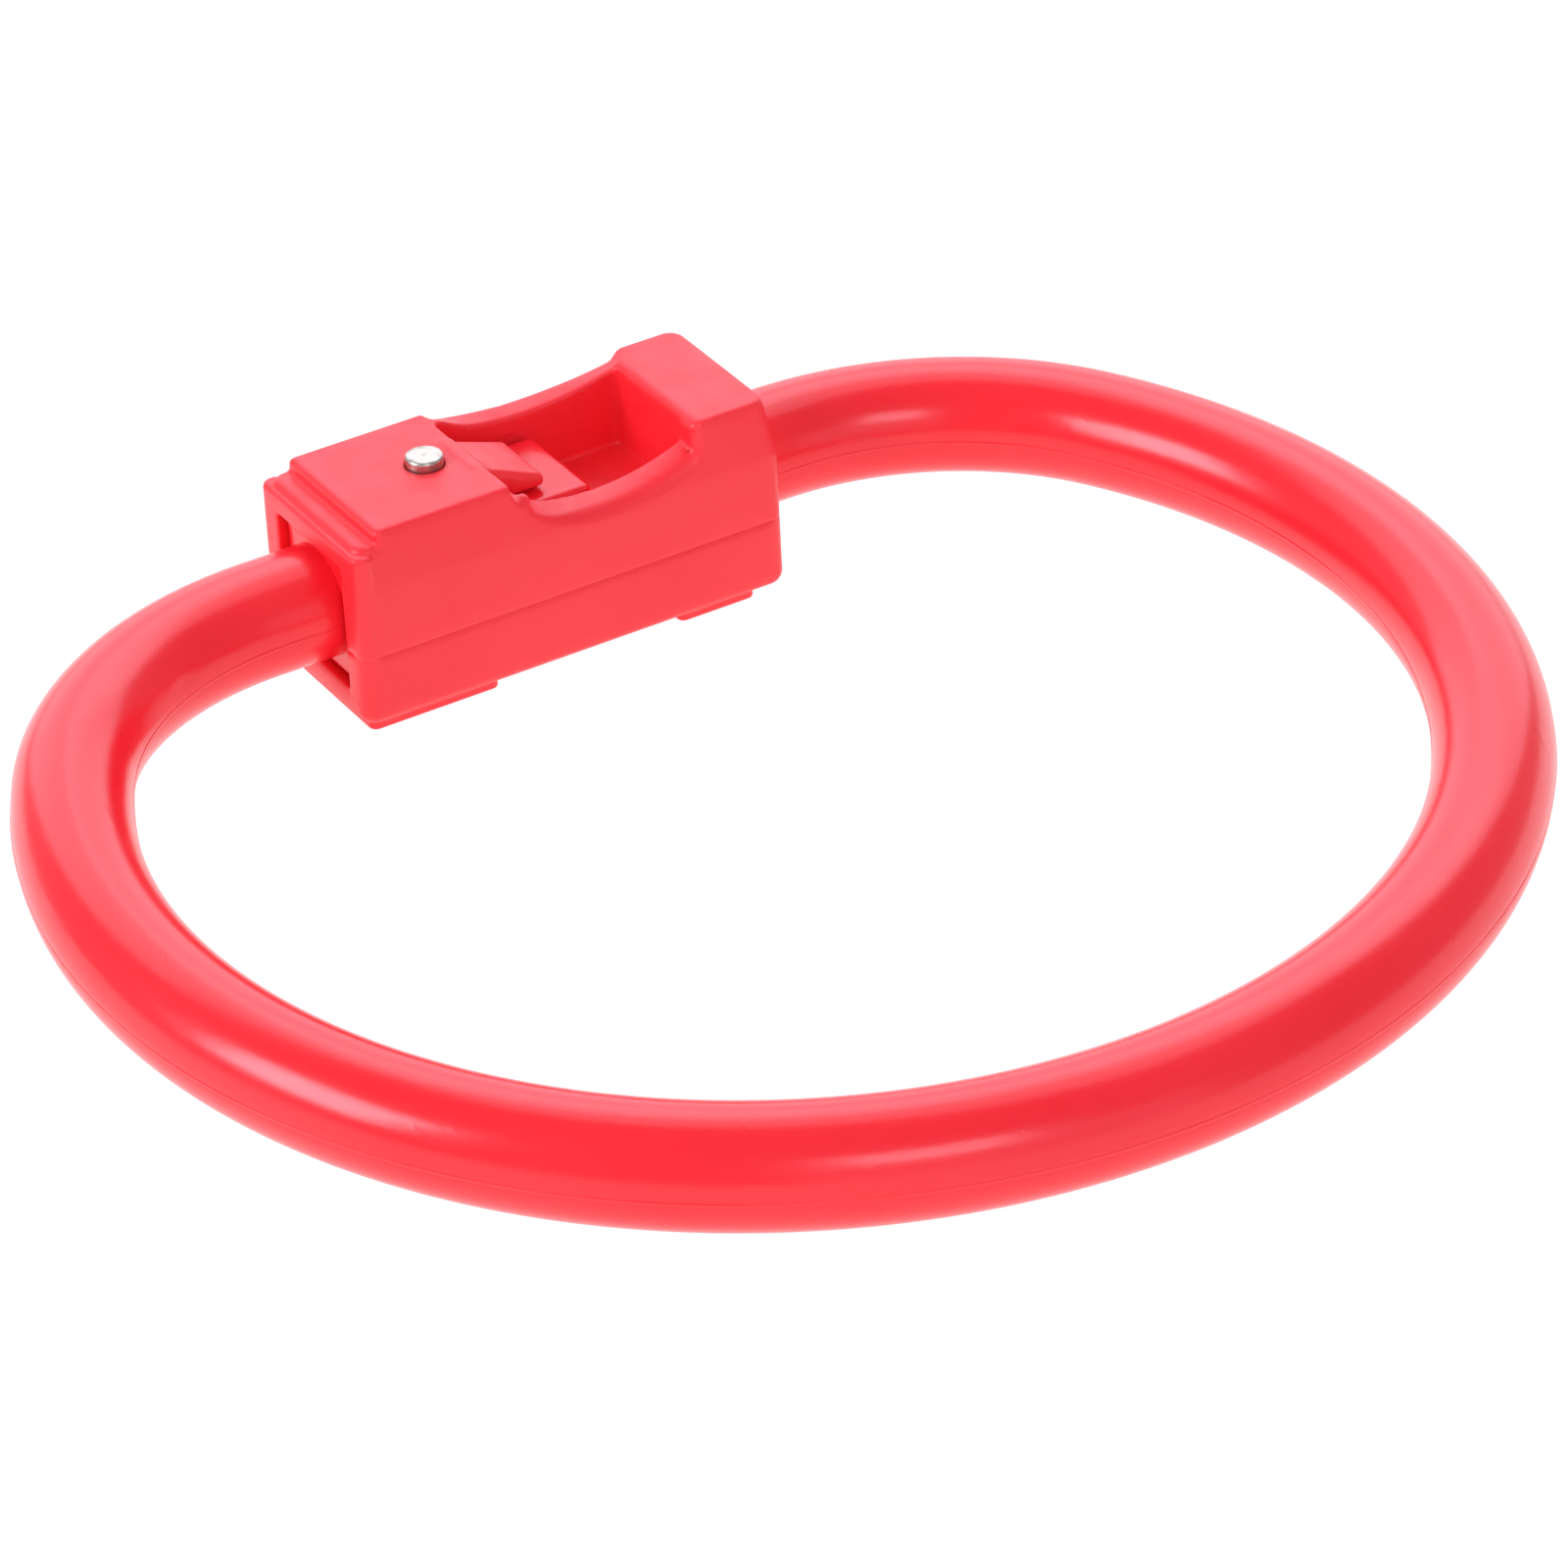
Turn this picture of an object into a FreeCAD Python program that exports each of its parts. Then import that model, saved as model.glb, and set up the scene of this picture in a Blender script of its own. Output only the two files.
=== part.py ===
"""Moulded carrying ring that opens at a spring-loaded sliding sleeve. Millimetres.

The frame: +Z is the ring's axis and the origin is the centre of its round part.
The sleeve closes the ring's straight side, which lies at +Y and runs along X.
Sliding the sleeve towards -X uncovers the ring's free tip, so the ring can be sprung open.
"""
import FreeCAD, Part
import math
import os

import Sketcher

OUT_DIR = "parts"

# Driving dimensions: sheet alias, value in millimetres or degrees.
DIMENSIONS = [
    # Ring bar, measured along its centre line.
    ("ring_radius", 70.0),
    ("corner_radius", 35.0),
    ("corner_sweep", 60.0),
    ("bar_diameter", 12.3),
    ("tip_x", 18.8),
    ("tip_rounding", 1.5),
    # Tang: the flat block on the ring's fixed end, which the sleeve slides on.
    ("tang_left", -23.3),
    ("tang_right", -5.0),
    ("tang_width", 12.6),
    ("tang_half_height", 6.65),
    ("tang_rounding", 0.6),
    ("bar_overlap", 0.6),
    ("slot_left", -21.4),
    ("slot_right", -7.8),
    ("slot_width", 4.6),
    ("nose_right", 5.8),
    ("nose_bottom", 2.2),
    ("nose_rounding", 0.9),
    # Sleeve, outside.
    ("sleeve_left", -24.1),
    ("sleeve_right", 26.3),
    ("sleeve_width", 20.6),
    ("sleeve_bottom", -10.5),
    ("sleeve_top", 11.6),
    ("seam_height", -2.5),
    ("crease_height", 5.2),
    ("ledge_height", 10.1),
    ("end_taper", 1.0),
    ("side_taper", 1.0),
    ("pad_left", -21.1),
    ("corner_rounding", 1.8),
    ("crown_rounding", 1.3),
    ("top_rounding", 0.6),
    ("bottom_rounding", 1.5),
    # Sleeve, inside.
    ("channel_width", 13.3),
    ("channel_half_height", 7.2),
    ("plate_left", 4.3),
    ("plate_bottom", 0.6),
    ("chamber_right", 11.2),
    ("socket_diameter", 12.9),
    ("socket_bottom", 18.4),
    ("well_left", -5.3),
    ("well_right", 16.4),
    ("well_floor", 1.9),
    ("scoop_radius", 26.0),
    ("scoop_start_height", 10.25),
    ("scoop_end_x", 16.2),
    ("scoop_end_height", 10.2),
    ("scoop_tilt", 11.3),
    ("clear_above", 15.0),
    # Tongue: the lip that runs from the pad over the nose.
    ("tongue_right", 1.5),
    ("tongue_width", 8.4),
    ("tongue_root_height", 11.2),
    ("tongue_tip_height", 8.3),
    ("tongue_bottom", 6.95),
    ("tongue_rounding", 0.5),
    # Feet under the sleeve.
    ("foot_bottom", -11.6),
    ("foot_width", 18.2),
    ("left_foot_left", -23.0),
    ("left_foot_right", -7.9),
    ("right_foot_left", 13.7),
    ("right_foot_right", 22.9),
    ("foot_rounding", 0.4),
    # Guide pin and its press-fit holes.
    ("pin_x", -10.1),
    ("pin_diameter", 4.0),
    ("pin_hole_diameter", 3.96),
    ("pin_bottom", -11.2),
    ("pin_top", 12.7),
    ("pin_chamfer", 0.35),
    # Pegs that locate the lower shell in the upper one.
    ("peg_diameter", 1.6),
    ("peg_hole_diameter", 1.8),
    ("peg_height", 1.6),
    ("peg_hole_depth", 2.2),
    ("peg_left", -19.5),
    ("peg_right", 21.5),
    ("peg_offset", 8.45),
    # Return spring, in the chamber between the tang and the sleeve.
    ("spring_wire", 0.5),
    ("spring_diameter", 5.8),
    ("spring_height", -3.3),
    ("spring_left", -4.45),
    ("spring_length", 15.35),
    ("spring_turns", 7.0),
]

doc = FreeCAD.newDocument("snap_ring")
sheet = doc.addObject("Spreadsheet::Sheet", "sheet")
for row, (alias, value) in enumerate(DIMENSIONS, start=1):
    sheet.set(f"A{row}", alias)
    sheet.set(f"B{row}", str(value))
    sheet.setAlias(f"B{row}", alias)
doc.recompute()
SIZE = dict(DIMENSIONS)

# Places worked out from the driving dimensions, as expressions.
CORNER_X = "(sheet.ring_radius - sheet.corner_radius) * cos(90 - sheet.corner_sweep)"
CORNER_Y = "(sheet.ring_radius - sheet.corner_radius) * sin(90 - sheet.corner_sweep)"
CHORD_Y = f"({CORNER_Y} + sheet.corner_radius)"


def value_of(expression):
    """An expression's present value, as a plain number."""
    found = sheet.evalExpression(expression)
    return getattr(found, "Value", found)


def place(obj, x="0", y="0", z="0", axis=(0, 0, 1), angle="0"):
    """Puts an object at a place given by expressions, turned about an axis."""
    obj.Placement = FreeCAD.Placement(
        FreeCAD.Vector(0, 0, 0), FreeCAD.Rotation(FreeCAD.Vector(*axis), value_of(angle))
    )
    for coordinate, expression in zip("xyz", (x, y, z)):
        obj.setExpression(f"Placement.Base.{coordinate}", f"({expression}) * 1 mm")


def primitive(kind, name, sizes):
    """A Part primitive whose properties follow the sheet."""
    obj = doc.addObject(f"Part::{kind}", name)
    for prop, expression in sizes.items():
        obj.setExpression(prop, expression)
    return obj


def fuse(name, pieces):
    joined = doc.addObject("Part::MultiFuse", name)
    joined.Shapes = pieces
    joined.Refine = True
    return joined


def cut(name, base, tool):
    result = doc.addObject("Part::Cut", name)
    result.Base = base
    result.Tool = tool
    return result


def matching_edges(shape, wanted):
    """The numbers of the edges for which wanted(edge) is true, counted from 1."""
    return [n for n, edge in enumerate(shape.Edges, start=1) if wanted(edge)]


def round_part_edges(name, base, alias, wanted, kind="Fillet"):
    """A Part fillet or chamfer on the edges that wanted() picks."""
    doc.recompute()
    rounded = doc.addObject(f"Part::{kind}", name)
    rounded.Base = base
    size = SIZE[alias]
    rounded.Edges = [(n, size, size) for n in matching_edges(base.Shape, wanted)]
    return rounded


# --- PartDesign helpers: every shell is a body whose XZ plane is the sleeve's middle plane.


def new_body(name):
    body = doc.addObject("PartDesign::Body", name)
    place(body, y=CHORD_Y)
    return body


def new_sketch(body, name, role, height="0"):
    """A sketch on one of the body's own origin planes, moved along its normal."""
    plane = next(f for f in body.Origin.OriginFeatures if f.Role == role)
    sketch = body.newObject("Sketcher::SketchObject", name)
    sketch.AttachmentSupport = [(plane, "")]
    sketch.MapMode = "FlatFace"
    sketch.setExpression("AttachmentOffset.Base.z", f"({height}) * 1 mm")
    return sketch


def bind(sketch, label, constraint, expression):
    """Adds a constraint and ties its value to an expression."""
    number = sketch.addConstraint(constraint)
    sketch.renameConstraint(number, label)
    sketch.setExpression(f"Constraints.{label}", expression)


def pin_point(sketch, label, geometry, end, x, y):
    """Fixes a point of the sketch by its distances from the sketch's origin."""
    for axis, expression in (("X", x), ("Y", y)):
        distance = Sketcher.Constraint(f"Distance{axis}", -1, 1, geometry, end, value_of(expression))
        bind(sketch, f"{label}_{axis}", distance, expression)


def draw_outline(sketch, corners, label="corner"):
    """A closed outline of straight sides, its corners given by pairs of expressions."""
    points = [FreeCAD.Vector(value_of(x), value_of(y), 0) for x, y in corners]
    first = sketch.GeometryCount
    for start, end in zip(points, points[1:] + points[:1]):
        sketch.addGeometry(Part.LineSegment(start, end), False)
    for n, (x, y) in enumerate(corners):
        before = first + (n - 1) % len(corners)
        sketch.addConstraint(Sketcher.Constraint("Coincident", before, 2, first + n, 1))
        pin_point(sketch, f"{label}_{n}", first + n, 1, x, y)


def draw_circle(sketch, x, y, diameter, label="circle"):
    centre = FreeCAD.Vector(value_of(x), value_of(y), 0)
    circle = Part.Circle(centre, FreeCAD.Vector(0, 0, 1), value_of(diameter) / 2)
    number = sketch.addGeometry(circle, False)
    bind(
        sketch, f"{label}_size", Sketcher.Constraint("Diameter", number, value_of(diameter)), diameter
    )
    for axis, expression in (("X", x), ("Y", y)):
        if value_of(expression):
            distance = Sketcher.Constraint(f"Distance{axis}", -1, 1, number, 3, value_of(expression))
            bind(sketch, f"{label}_{axis}", distance, expression)
        else:
            other_axis = -2 if axis == "X" else -1
            sketch.addConstraint(Sketcher.Constraint("PointOnObject", number, 3, other_axis))


def draw_rounded_rectangle(sketch, inset, radius):
    """The sleeve's plan view, drawn in by inset times the tapers, with round corners."""
    left = f"(sheet.sleeve_left + {inset} * sheet.end_taper)"
    right = f"(sheet.sleeve_right - {inset} * sheet.end_taper)"
    far = f"(sheet.sleeve_width / 2 - {inset} * sheet.side_taper)"
    corners = [(left, f"-{far}", 1, 1), (right, f"-{far}", -1, 1), (right, far, -1, -1), (left, far, 1, -1)]
    size = value_of(radius)
    arcs = []
    for number, (x, y, inward_x, inward_y) in enumerate(corners):
        centre_x = f"{x} + {inward_x} * {radius}"
        centre_y = f"{y} + {inward_y} * {radius}"
        centre = FreeCAD.Vector(value_of(centre_x), value_of(centre_y), 0)
        start = math.pi + number * math.pi / 2
        circle = Part.Circle(centre, FreeCAD.Vector(0, 0, 1), size)
        arcs.append(sketch.addGeometry(Part.ArcOfCircle(circle, start, start + math.pi / 2), False))
        pin_point(sketch, f"centre_{number}", arcs[-1], 3, centre_x, centre_y)
        bind(sketch, f"radius_{number}", Sketcher.Constraint("Radius", arcs[-1], size), radius)
    for number, arc in enumerate(arcs):
        following = arcs[(number + 1) % 4]
        start = sketch.getPoint(arc, 2)
        line = sketch.addGeometry(Part.LineSegment(start, sketch.getPoint(following, 1)), False)
        sketch.addConstraint(Sketcher.Constraint("Tangent", arc, 2, line, 1))
        sketch.addConstraint(Sketcher.Constraint("Tangent", line, 2, following, 1))


def extrude(body, kind, name, sketch, length, both_ways=True, reverse=False):
    """A Pad or a Pocket of a sketch, both ways from it or to one side."""
    doc.recompute()
    feature = body.newObject(f"PartDesign::{kind}", name)
    feature.Profile = sketch
    sketch.Visibility = False
    feature.Type = "Length"
    feature.SideType = "Symmetric" if both_ways else "One side"
    feature.Reversed = reverse
    feature.setExpression("Length", length)
    doc.recompute()
    return feature


def round_body_edges(body, name, alias, wanted):
    doc.recompute()
    tip = body.Tip
    rounded = body.newObject("PartDesign::Fillet", name)
    rounded.Base = (tip, [f"Edge{n}" for n in matching_edges(tip.Shape, wanted)])
    rounded.setExpression("Radius", f"sheet.{alias}")
    doc.recompute()


def drill_pin_hole(body):
    hole = new_sketch(body, f"{body.Name}_pin_hole_outline", "XY_Plane")
    draw_circle(hole, "sheet.pin_x", "0", "sheet.pin_hole_diameter")
    extrude(body, "Pocket", f"{body.Name}_pin_hole", hole, "4 * sheet.sleeve_top")


def bore_socket(body):
    """The blind round hole that the ring's free tip sits in."""
    socket = new_sketch(body, f"{body.Name}_socket_outline", "YZ_Plane", "sheet.socket_bottom")
    draw_circle(socket, "0", "0", "sheet.socket_diameter")
    length = "sheet.sleeve_right - sheet.socket_bottom + 1"
    extrude(body, "Pocket", f"{body.Name}_socket", socket, length, False, reverse=True)


def draw_pegs(sketch, diameter):
    """One circle at each of the four pegs."""
    for column, x in enumerate(("sheet.peg_left", "sheet.peg_right")):
        for side, y in enumerate(("-sheet.peg_offset", "sheet.peg_offset")):
            draw_circle(sketch, x, y, diameter, f"peg_{column}{side}")


def is_upright(edge):
    """True for an edge that climbs, straight or leaning, and doesn't run along X or Y."""
    box = edge.BoundBox
    return box.ZLength > 1 and box.XLength < 2 and box.YLength < 2


def is_outer_corner(edge):
    """True for the upright edges at the sleeve's four outer corners."""
    middle = edge.BoundBox.Center
    near_end = middle.x < SIZE["tang_left"] - 0.3 or middle.x > SIZE["right_foot_right"] + 2
    return is_upright(edge) and near_end and abs(middle.y) > SIZE["foot_width"] / 2


# --- Sub-parts.


def make_ring_body():
    """The one-piece moulding: the bar, the tang with its slot, the nose and the free tip."""
    radius = "sheet.bar_diameter / 2"
    arc = primitive(
        "Torus",
        "main_arc",
        {"Radius1": "sheet.ring_radius", "Radius2": radius, "Angle3": "360 - 2 * sheet.corner_sweep"},
    )
    place(arc, angle="90 + sheet.corner_sweep")
    pieces = [arc]
    corners = [("left_corner", f"-{CORNER_X}", "90"), ("right_corner", CORNER_X, "90 - sheet.corner_sweep")]
    for name, x, angle in corners:
        corner = primitive(
            "Torus",
            name,
            {"Radius1": "sheet.corner_radius", "Radius2": radius, "Angle3": "sheet.corner_sweep"},
        )
        place(corner, x, CORNER_Y, angle=angle)
        pieces.append(corner)
    root_length = f"{CORNER_X} + sheet.tang_left + sheet.bar_overlap"
    root = primitive("Cylinder", "fixed_end", {"Radius": radius, "Height": root_length})
    place(root, f"-{CORNER_X}", CHORD_Y, axis=(0, 1, 0), angle="90")
    tip_bar = primitive("Cylinder", "tip_bar", {"Radius": radius, "Height": f"{CORNER_X} - sheet.tip_x"})
    place(tip_bar, "sheet.tip_x", CHORD_Y, axis=(0, 1, 0), angle="90")
    tip = round_part_edges(
        "free_tip", tip_bar, "tip_rounding", lambda e: abs(e.BoundBox.Center.x - SIZE["tip_x"]) < 0.01
        and e.BoundBox.XLength < 0.01,
    )
    tang = primitive(
        "Box",
        "tang_block",
        {
            "Length": "sheet.tang_right - sheet.tang_left",
            "Width": "sheet.tang_width",
            "Height": "2 * sheet.tang_half_height",
        },
    )
    tang_side = f"{CHORD_Y} - sheet.tang_width / 2"
    place(tang, "sheet.tang_left", tang_side, "-sheet.tang_half_height")
    tang_rounded = round_part_edges(
        "tang_rounded", tang, "tang_rounding", lambda e: e.BoundBox.ZLength > 5
    )
    slot = primitive(
        "Box",
        "slot_block",
        {
            "Length": "sheet.slot_right - sheet.slot_left",
            "Width": "sheet.slot_width",
            "Height": "4 * sheet.tang_half_height",
        },
    )
    place(slot, "sheet.slot_left", f"{CHORD_Y} - sheet.slot_width / 2", "-2 * sheet.tang_half_height")
    doc.recompute()
    slot_rounded = round_part_edges(
        "slot_rounded", slot, "tang_rounding", lambda e: e.BoundBox.ZLength > 5
    )
    nose = primitive(
        "Box",
        "nose_block",
        {
            "Length": "sheet.nose_right - sheet.tang_right + sheet.bar_overlap",
            "Width": "sheet.tang_width",
            "Height": "sheet.tang_half_height - sheet.nose_bottom",
        },
    )
    place(nose, "sheet.tang_right - sheet.bar_overlap", tang_side, "sheet.nose_bottom")
    nose_rounded = round_part_edges(
        "nose_rounded",
        nose,
        "nose_rounding",
        lambda e: abs(e.BoundBox.Center.x - SIZE["nose_right"]) < 0.01 and e.BoundBox.ZLength < 0.01,
    )
    solid = fuse("ring_solid", pieces + [root, tip, tang_rounded, nose_rounded])
    body = cut("ring_body", solid, slot_rounded)
    body.Label = "ring_body"
    return body


def make_upper_shell():
    """The sleeve above the seam: tapered top, thumb well, scooped walls and tongue."""
    body = new_body("upper_shell")
    body.Label = "sleeve_upper_shell"
    wall = new_sketch(body, "upper_wall_outline", "XY_Plane", "sheet.seam_height")
    draw_rounded_rectangle(wall, "0", "sheet.corner_rounding")
    height = "sheet.crease_height - sheet.seam_height"
    extrude(body, "Pad", "upper_wall", wall, height, both_ways=False)
    crease = new_sketch(body, "crease_outline", "XY_Plane", "sheet.crease_height")
    draw_rounded_rectangle(crease, "0", "sheet.corner_rounding")
    crown = new_sketch(body, "crown_outline", "XY_Plane", "sheet.sleeve_top")
    draw_rounded_rectangle(crown, "1", "sheet.crown_rounding")
    doc.recompute()
    taper = body.newObject("PartDesign::AdditiveLoft", "tapered_crown")
    taper.Profile = crease
    taper.Sections = [crown]
    taper.Ruled = True
    doc.recompute()
    round_body_edges(
        body,
        "upper_top_edges",
        "top_rounding",
        lambda e: e.BoundBox.ZLength < 0.01 and abs(e.BoundBox.ZMax - SIZE["sleeve_top"]) < 0.01,
    )
    ledge = new_sketch(body, "ledge_outline", "XZ_Plane")
    draw_outline(
        ledge,
        [
            ("sheet.sleeve_left - 1", "sheet.ledge_height"),
            ("sheet.sleeve_left - 1", "sheet.clear_above"),
            ("sheet.pad_left", "sheet.clear_above"),
            ("sheet.pad_left", "sheet.ledge_height"),
        ],
    )
    extrude(body, "Pocket", "end_ledge", ledge, "sheet.sleeve_width + 2")

    well = new_sketch(body, "well_outline", "XZ_Plane")
    draw_outline(
        well,
        [
            ("sheet.well_left", "sheet.well_floor"),
            ("sheet.well_left", "sheet.clear_above"),
            ("sheet.well_right", "sheet.clear_above"),
            ("sheet.well_right", "sheet.well_floor"),
        ],
    )
    extrude(body, "Pocket", "thumb_well", well, "sheet.channel_width")
    cut_scoops(body)

    channel = new_sketch(body, "channel_outline", "XZ_Plane")
    below = "sheet.seam_height - 1"
    draw_outline(
        channel,
        [
            ("sheet.sleeve_left - 1", below),
            ("sheet.sleeve_left - 1", "sheet.channel_half_height"),
            ("sheet.plate_left", "sheet.channel_half_height"),
            ("sheet.plate_left", "sheet.plate_bottom"),
            ("sheet.chamber_right", "sheet.plate_bottom"),
            ("sheet.chamber_right", below),
        ],
    )
    extrude(body, "Pocket", "upper_channel", channel, "sheet.channel_width")
    add_tongue(body)
    drill_pin_hole(body)
    bore_socket(body)
    holes = new_sketch(body, "peg_hole_outline", "XY_Plane", "sheet.seam_height")
    draw_pegs(holes, "sheet.peg_hole_diameter")
    extrude(body, "Pocket", "peg_holes", holes, "sheet.peg_hole_depth", False, reverse=True)
    return body


def cut_scoops(body):
    """Dips the side walls beside the well along an arc that is lower towards the ring's middle."""
    sketch = new_sketch(body, "scoop_outline", "XZ_Plane")
    corners = [
        ("sheet.well_left", "sheet.scoop_start_height"),
        ("sheet.scoop_end_x", "sheet.scoop_end_height"),
        ("sheet.scoop_end_x", "sheet.clear_above"),
        ("sheet.well_left", "sheet.clear_above"),
    ]
    points = [FreeCAD.Vector(value_of(x), value_of(y), 0) for x, y in corners]
    span = points[1] - points[0]
    rise = math.sqrt(SIZE["scoop_radius"] ** 2 - (span.Length / 2) ** 2)
    centre = (points[0] + points[1]) * 0.5 + FreeCAD.Vector(-span.y, span.x, 0) * (rise / span.Length)
    start, end = (math.atan2(p.y - centre.y, p.x - centre.x) for p in points[:2])
    circle = Part.Circle(centre, FreeCAD.Vector(0, 0, 1), SIZE["scoop_radius"])
    sketch.addGeometry(Part.ArcOfCircle(circle, start, end), False)
    for first, second in ((1, 2), (2, 3), (3, 0)):
        sketch.addGeometry(Part.LineSegment(points[first], points[second]), False)
    for before, after in ((0, 1), (1, 2), (2, 3), (3, 0)):
        sketch.addConstraint(Sketcher.Constraint("Coincident", before, 2, after, 1))
    for number, (x, y) in enumerate(corners):
        pin_point(sketch, f"corner_{number}", number, 1, x, y)
    radius = Sketcher.Constraint("Radius", 0, SIZE["scoop_radius"])
    bind(sketch, "arc_radius", radius, "sheet.scoop_radius")
    scoops = extrude(body, "Pocket", "scoops", sketch, "sheet.sleeve_width + 2")
    scoops.UseCustomVector = True
    scoops.setExpression("Direction.y", "cos(sheet.scoop_tilt)")
    scoops.setExpression("Direction.z", "sin(sheet.scoop_tilt)")
    doc.recompute()


def add_tongue(body):
    """The sloping lip that carries the pad's top on over the tang's nose."""
    sketch = new_sketch(body, "tongue_outline", "XZ_Plane")
    root = "sheet.well_left - 1"
    draw_outline(
        sketch,
        [
            (root, "sheet.tongue_bottom"),
            (root, "sheet.tongue_root_height"),
            ("sheet.well_left", "sheet.tongue_root_height"),
            ("sheet.tongue_right", "sheet.tongue_tip_height"),
            ("sheet.tongue_right", "sheet.tongue_bottom"),
        ],
    )
    extrude(body, "Pad", "tongue", sketch, "sheet.tongue_width")
    tip = SIZE["tongue_right"]
    round_body_edges(
        body,
        "tongue_edge",
        "tongue_rounding",
        lambda e: abs(e.BoundBox.Center.x - tip) < 0.01
        and e.BoundBox.ZLength < 0.01
        and abs(e.BoundBox.ZMax - SIZE["tongue_tip_height"]) < 0.01,
    )


def make_lower_shell():
    """The sleeve below the seam: tray, half socket, locating pegs and two feet."""
    body = new_body("lower_shell")
    body.Label = "sleeve_lower_shell"
    side = new_sketch(body, "lower_side_outline", "XZ_Plane")
    draw_outline(
        side,
        [
            ("sheet.sleeve_left", "sheet.sleeve_bottom"),
            ("sheet.sleeve_left", "sheet.seam_height"),
            ("sheet.sleeve_right", "sheet.seam_height"),
            ("sheet.sleeve_right", "sheet.sleeve_bottom"),
        ],
    )
    extrude(body, "Pad", "lower_block", side, "sheet.sleeve_width")
    round_body_edges(body, "lower_corners", "corner_rounding", is_outer_corner)
    round_body_edges(
        body,
        "lower_bottom_edges",
        "bottom_rounding",
        lambda e: e.BoundBox.ZLength < 0.01 and abs(e.BoundBox.ZMax - SIZE["sleeve_bottom"]) < 0.01,
    )
    for name in ("left_foot", "right_foot"):
        add_foot(body, name)

    channel = new_sketch(body, "tray_outline", "XZ_Plane")
    draw_outline(
        channel,
        [
            ("sheet.sleeve_left - 1", "-sheet.channel_half_height"),
            ("sheet.sleeve_left - 1", "sheet.seam_height + 1"),
            ("sheet.chamber_right", "sheet.seam_height + 1"),
            ("sheet.chamber_right", "-sheet.channel_half_height"),
        ],
    )
    extrude(body, "Pocket", "tray", channel, "sheet.channel_width")
    drill_pin_hole(body)
    bore_socket(body)
    pegs = new_sketch(body, "peg_outline", "XY_Plane", "sheet.seam_height - 1")
    draw_pegs(pegs, "sheet.peg_diameter")
    extrude(body, "Pad", "pegs", pegs, "sheet.peg_height + 1", False)
    return body


def add_foot(body, name):
    """A shallow raised pad under one end of the sleeve."""
    sketch = new_sketch(body, f"{name}_outline", "XZ_Plane")
    left, right = f"sheet.{name}_left", f"sheet.{name}_right"
    root = "sheet.sleeve_bottom + 2"
    corners = [(left, "sheet.foot_bottom"), (left, root), (right, root), (right, "sheet.foot_bottom")]
    draw_outline(sketch, corners)
    extrude(body, "Pad", name, sketch, "sheet.foot_width")
    round_body_edges(
        body,
        f"{name}_edges",
        "foot_rounding",
        lambda e: e.BoundBox.ZLength < 0.01
        and abs(e.BoundBox.ZMax - SIZE["foot_bottom"]) < 0.01
        and value_of(left) - 0.1 < e.BoundBox.Center.x < value_of(right) + 0.1,
    )


def make_guide_pin():
    """The steel pin pressed through both shells, which rides in the tang's slot."""
    shank = primitive(
        "Cylinder",
        "pin_shank",
        {"Radius": "sheet.pin_diameter / 2", "Height": "sheet.pin_top - sheet.pin_bottom"},
    )
    place(shank, "sheet.pin_x", CHORD_Y, "sheet.pin_bottom")
    pin = round_part_edges(
        "guide_pin", shank, "pin_chamfer", lambda e: e.BoundBox.ZLength < 0.01, kind="Chamfer"
    )
    pin.Label = "guide_pin"
    return pin


def make_return_spring():
    """The coil spring that pushes the sleeve back over the free tip."""
    coil = primitive(
        "Helix",
        "spring_path",
        {
            "Radius": "sheet.spring_diameter / 2",
            "Height": "sheet.spring_length",
            "Pitch": "sheet.spring_length / sheet.spring_turns",
        },
    )
    wire = primitive("Circle", "spring_section", {"Radius": "sheet.spring_wire / 2"})
    wire.Placement = FreeCAD.Placement(
        FreeCAD.Vector(SIZE["spring_diameter"] / 2, 0, 0), FreeCAD.Rotation(FreeCAD.Vector(1, 0, 0), 90)
    )
    wire.setExpression("Placement.Base.x", "sheet.spring_diameter / 2 * 1 mm")
    doc.recompute()
    spring = doc.addObject("Part::Sweep", "return_spring")
    spring.Sections = [wire]
    spring.Spine = (coil, [f"Edge{n}" for n in range(1, len(coil.Shape.Edges) + 1)])
    spring.Solid = True
    spring.Frenet = True
    spring.Label = "return_spring"
    place(spring, "sheet.spring_left", CHORD_Y, "sheet.spring_height", axis=(0, 1, 0), angle="90")
    return spring


sub_parts = [
    make_ring_body(),
    make_upper_shell(),
    make_lower_shell(),
    make_guide_pin(),
    make_return_spring(),
]
doc.recompute()

for obj in doc.Objects:
    if {"Invalid", "Error"} & set(obj.State):
        raise RuntimeError(f"{obj.Name} did not build: {obj.State}")
for part in sub_parts:
    if part.Shape.isNull() or not part.Shape.isValid() or not part.Shape.Solids:
        raise RuntimeError(f"{part.Label} has no valid solid")

os.makedirs(OUT_DIR, exist_ok=True)
for part in sub_parts:
    part.Shape.exportStep(os.path.join(OUT_DIR, f"{part.Label}.step"))
    box = part.Shape.BoundBox
    print(f"{part.Label}: {part.Shape.Volume:.0f} mm3, {len(part.Shape.Solids)} solid,", box)
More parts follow.
